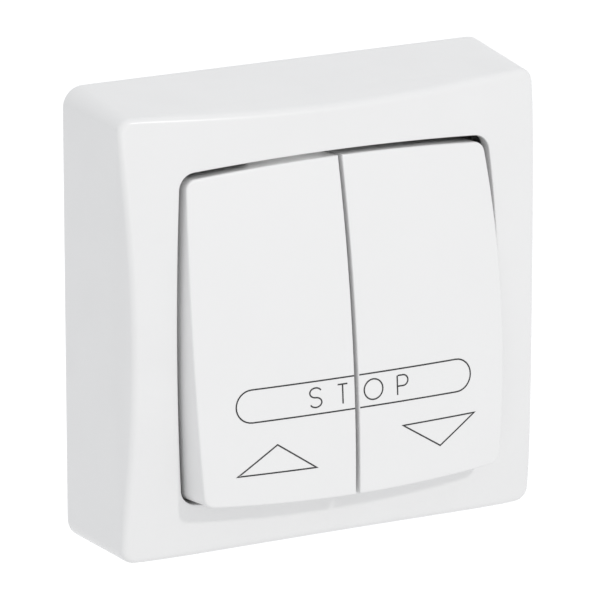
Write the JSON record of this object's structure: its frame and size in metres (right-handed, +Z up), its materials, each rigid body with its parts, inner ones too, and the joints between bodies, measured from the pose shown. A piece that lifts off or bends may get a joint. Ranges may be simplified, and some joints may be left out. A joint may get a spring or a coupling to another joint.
{
  "type": "roller shutter switch",
  "caption": "Surface-mounted roller shutter switch: square domed cover with an up rocker and a down rocker side by side over a switch mechanism in a wall box.",
  "frame": {"origin": "centre of the back face, on the wall's surface", "axes": "+Z up the wall, +Y into the wall, -Y out of the front, +X to the right seen from the front"},
  "size_m": [0.079, 0.0309, 0.079],
  "materials": {
    "white_cover": "satin moulded",
    "white_box": "satin moulded",
    "white_rocker": "satin moulded",
    "grey_housing": "fine moulded",
    "pale_plate": "fine moulded",
    "grey_carrier": "fine moulded",
    "ivory_plunger": "waxy moulded",
    "spring_steel": "drawn wire",
    "bronze": "stamped",
    "contact_silver": "satin",
    "terminal_brass": "stamped",
    "pin_steel": "ground",
    "zinc_steel": "zinc plated"
  },
  "bodies": {
    "switch_body": {"cover": "white_cover", "back_box": "white_box", "mechanism_housing": "grey_housing", "mechanism_plate": "pale_plate", "up_return_spring": "spring_steel", "down_return_spring": "spring_steel", "up_contact_spring": "spring_steel", "down_contact_spring": "spring_steel", "common_terminal": "terminal_brass", "up_terminal": "terminal_brass", "down_terminal": "terminal_brass", "fixed_contacts": "contact_silver", "contact_pins": "pin_steel", "terminal_washers": "zinc_steel", "terminal_screws": "zinc_steel", "mechanism_screws": "zinc_steel"},
    "up_rocker": {"up_rocker": "white_rocker", "up_carrier": "grey_carrier"},
    "down_rocker": {"down_rocker": "white_rocker", "down_carrier": "grey_carrier"},
    "up_plunger": {"up_plunger": "ivory_plunger"},
    "down_plunger": {"down_plunger": "ivory_plunger"},
    "up_blade": {"up_contact_blade": "bronze", "up_moving_contact": "contact_silver"},
    "down_blade": {"down_contact_blade": "bronze", "down_moving_contact": "contact_silver"}
  },
  "joints": [
    {"name": "up_rocker_hinge", "type": "hinge", "parent": "switch_body", "child": "up_rocker", "pos_m": [-0.015, -0.024, 0], "axis": [1, 0, 0], "range_deg": [0, 14], "stiffness_Nm_per_rad": 0.08, "springref_deg": -20.05},
    {"name": "down_rocker_hinge", "type": "hinge", "parent": "switch_body", "child": "down_rocker", "pos_m": [0.015, -0.024, 0], "axis": [1, 0, 0], "range_deg": [0, 14], "stiffness_Nm_per_rad": 0.08, "springref_deg": -20.05},
    {"name": "up_plunger_slide", "type": "slide", "parent": "switch_body", "child": "up_plunger", "axis": [0, 1, 0], "range_m": [0, 0.00195], "deforming": ["up_return_spring"]},
    {"name": "up_blade_hinge", "type": "hinge", "parent": "switch_body", "child": "up_blade", "pos_m": [-0.015, -0.00946, 0.006], "axis": [1, 0, 0], "range_deg": [0, 8], "deforming": ["up_contact_spring"]},
    {"name": "down_plunger_slide", "type": "slide", "parent": "switch_body", "child": "down_plunger", "axis": [0, 1, 0], "range_m": [0, 0.00195], "deforming": ["down_return_spring"]},
    {"name": "down_blade_hinge", "type": "hinge", "parent": "switch_body", "child": "down_blade", "pos_m": [0.015, -0.00946, 0.006], "axis": [1, 0, 0], "range_deg": [0, 8], "deforming": ["down_contact_spring"]}
  ],
  "couplings": [
    {"joint": "up_plunger_slide", "follows": "up_rocker_hinge", "m_per_rad": 0.008},
    {"joint": "up_blade_hinge", "follows": "up_rocker_hinge", "ratio": 0.57143},
    {"joint": "down_plunger_slide", "follows": "down_rocker_hinge", "m_per_rad": 0.008},
    {"joint": "down_blade_hinge", "follows": "down_rocker_hinge", "ratio": 0.57143}
  ]
}
